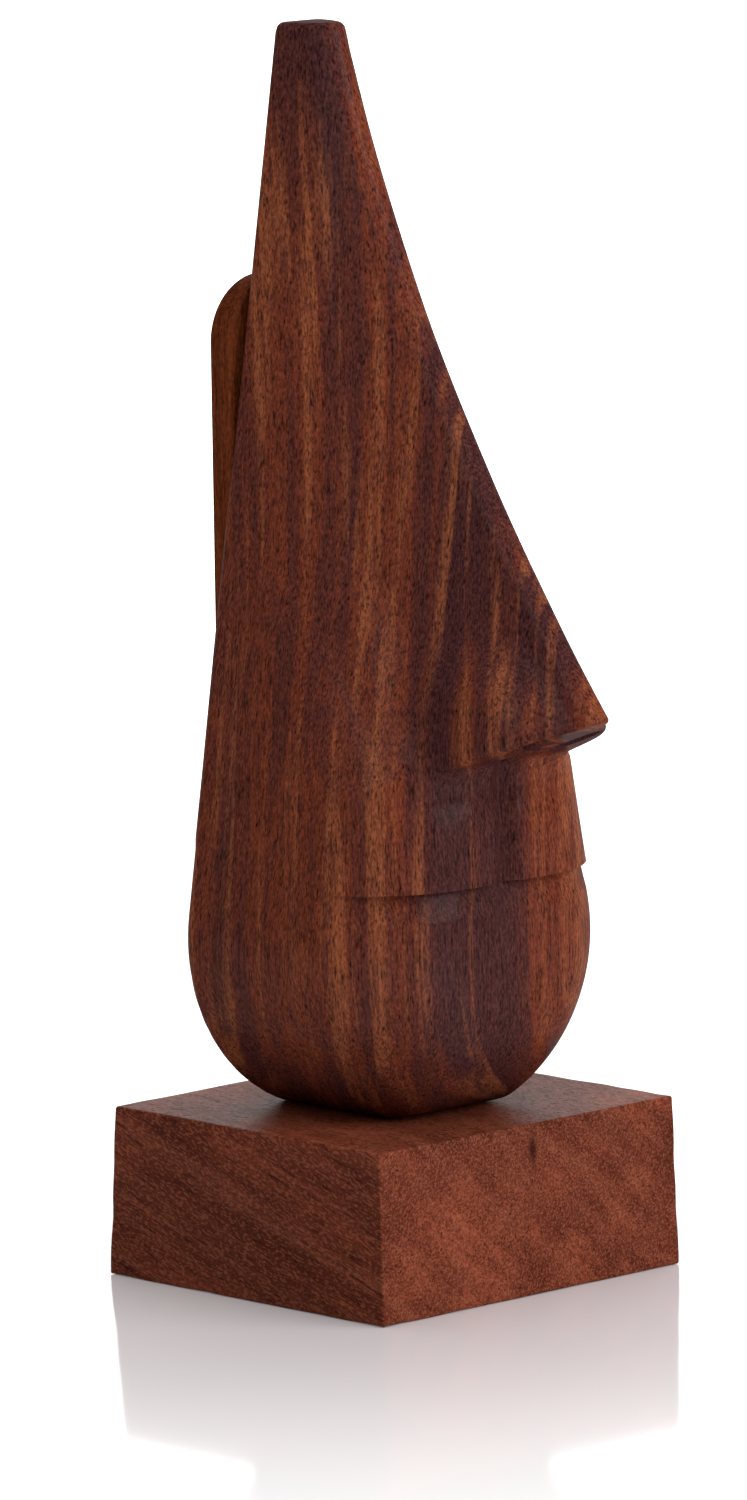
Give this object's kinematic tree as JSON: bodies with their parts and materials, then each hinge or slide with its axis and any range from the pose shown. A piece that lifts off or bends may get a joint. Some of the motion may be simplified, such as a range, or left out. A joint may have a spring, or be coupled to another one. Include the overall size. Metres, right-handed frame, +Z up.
{
  "type": "eyeglasses display stand",
  "caption": "Carved wooden stand on a square block; a long wedge-shaped nose carries the bridge of a pair of spectacles.",
  "frame": {"origin": "centre of the base block's underside, on the surface that the stand rests on", "axes": "+Z up; the nose points along -Y, so -Y is the front; +X is to the right seen from the front; X = 0 is the plane of symmetry"},
  "size_m": [0.05, 0.065, 0.1553],
  "materials": {
    "base_wood": "satin varnish over red-brown rosewood",
    "head_wood": "satin varnish over red-brown rosewood with dark bands",
    "plate_wood": "satin varnish over olive-brown rosewood",
    "screw_steel": "zinc-plated steel",
    "dowel_wood": "bare beech"
  },
  "bodies": {
    "root": {"base_block": "base_wood", "head_carving": "head_wood", "back_plate": "plate_wood", "fixing_screw": "screw_steel", "locating_dowel": "dowel_wood"}
  },
  "joints": []
}
